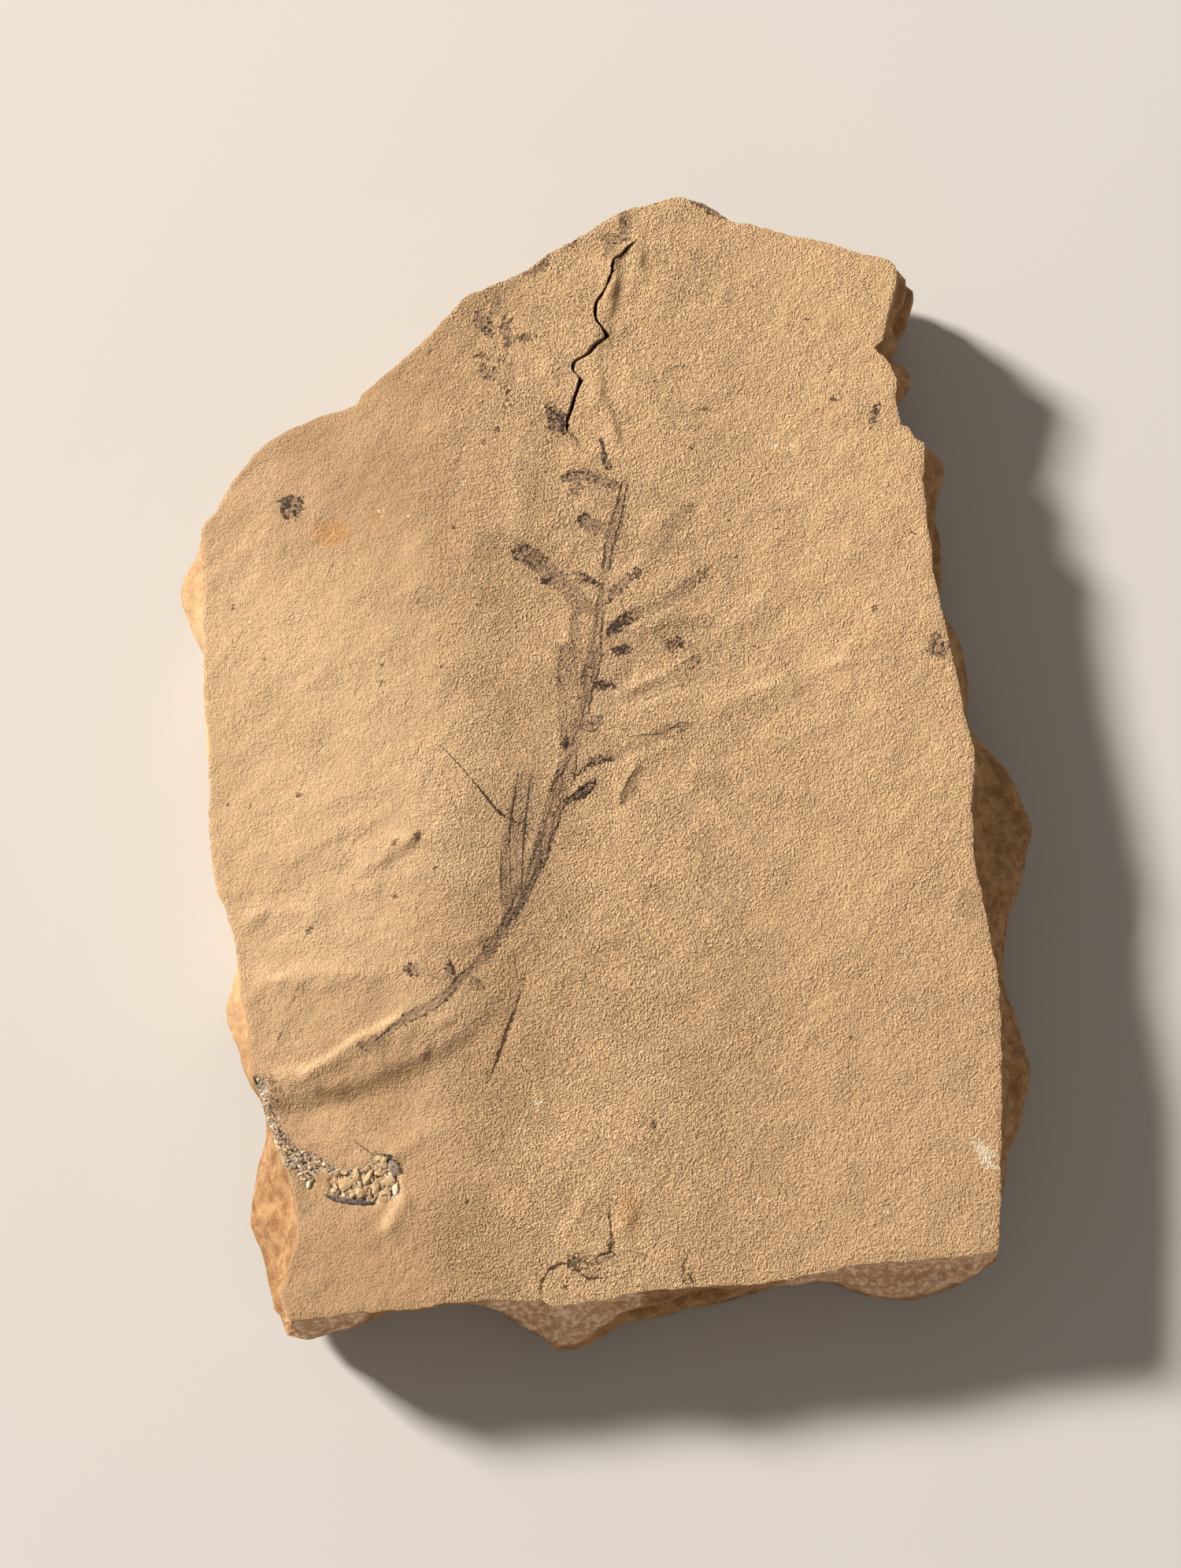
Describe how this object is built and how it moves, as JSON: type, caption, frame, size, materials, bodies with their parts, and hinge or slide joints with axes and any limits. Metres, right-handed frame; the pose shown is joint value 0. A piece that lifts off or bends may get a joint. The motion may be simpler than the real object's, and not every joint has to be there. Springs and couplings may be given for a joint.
{
  "type": "fossil dawn redwood plate",
  "caption": "Broken slab of fine tan shale with a flattened dawn redwood twig on its face and a crack above it, lying on its flat back.",
  "frame": {"origin": "centre of the slab's bounding box in plan, on the plane its back rests on", "axes": "+X to the right across the fossil face, +Y up the face towards the twig's tip, +Z out of the fossil face"},
  "size_m": [0.0686, 0.0934, 0.0127],
  "materials": {
    "shale": "fine-grained matt tan shale with a dark mauve-brown carbon film"
  },
  "bodies": {
    "root": {"plate": "shale"}
  },
  "joints": []
}
